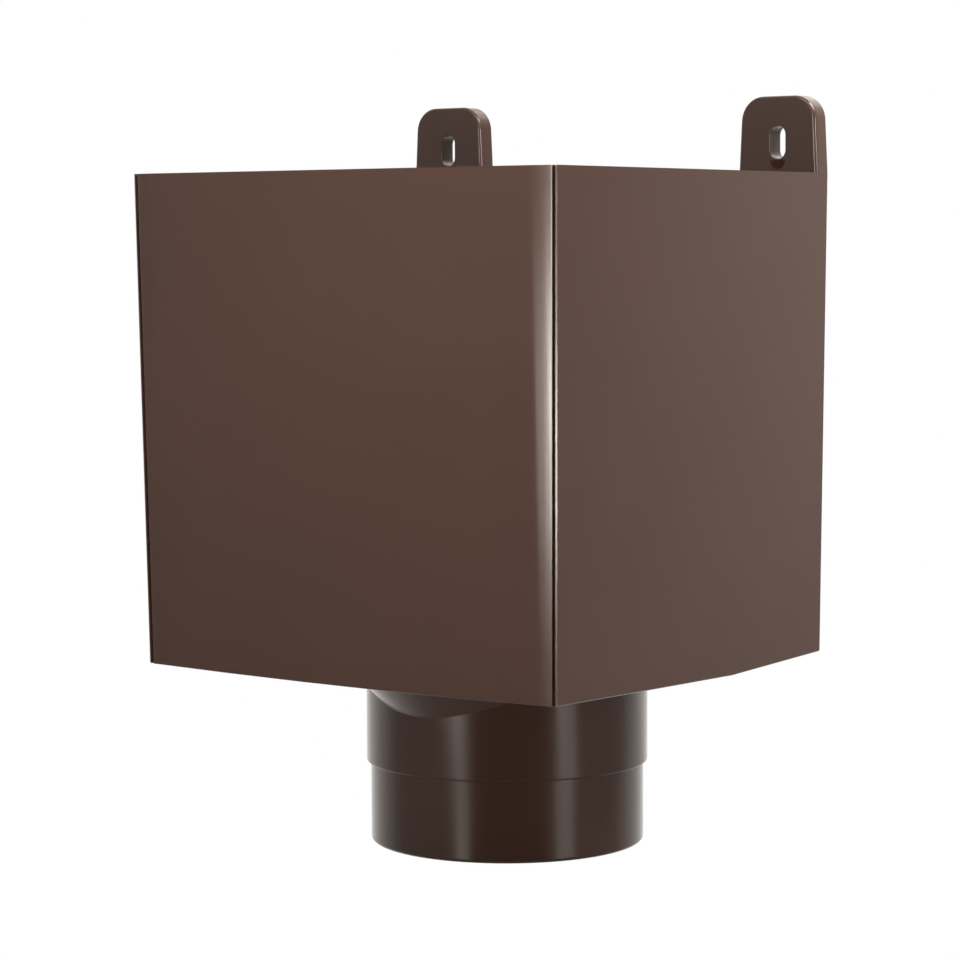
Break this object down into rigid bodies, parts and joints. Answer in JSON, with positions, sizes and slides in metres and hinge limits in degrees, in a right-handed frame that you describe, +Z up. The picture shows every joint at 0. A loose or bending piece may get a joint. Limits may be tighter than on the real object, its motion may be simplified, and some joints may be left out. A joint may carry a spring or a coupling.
{
  "type": "downpipe hopper head",
  "caption": "Open box-shaped rainwater hopper head in dark brown moulded plastic, with slotted wall lugs and a round spigot outlet for a downpipe.",
  "frame": {"origin": "centre of the spigot's open end, on the outlet's axis", "axes": "+Z up along the outlet's axis, +Y towards the wall that the head hangs on, -Y out of its front, +X to the right seen from the front"},
  "size_m": [0.1794, 0.1653, 0.2632],
  "materials": {
    "brown_pvc": "satin, as moulded"
  },
  "bodies": {
    "root": {"hopper_head": "brown_pvc"}
  },
  "joints": []
}
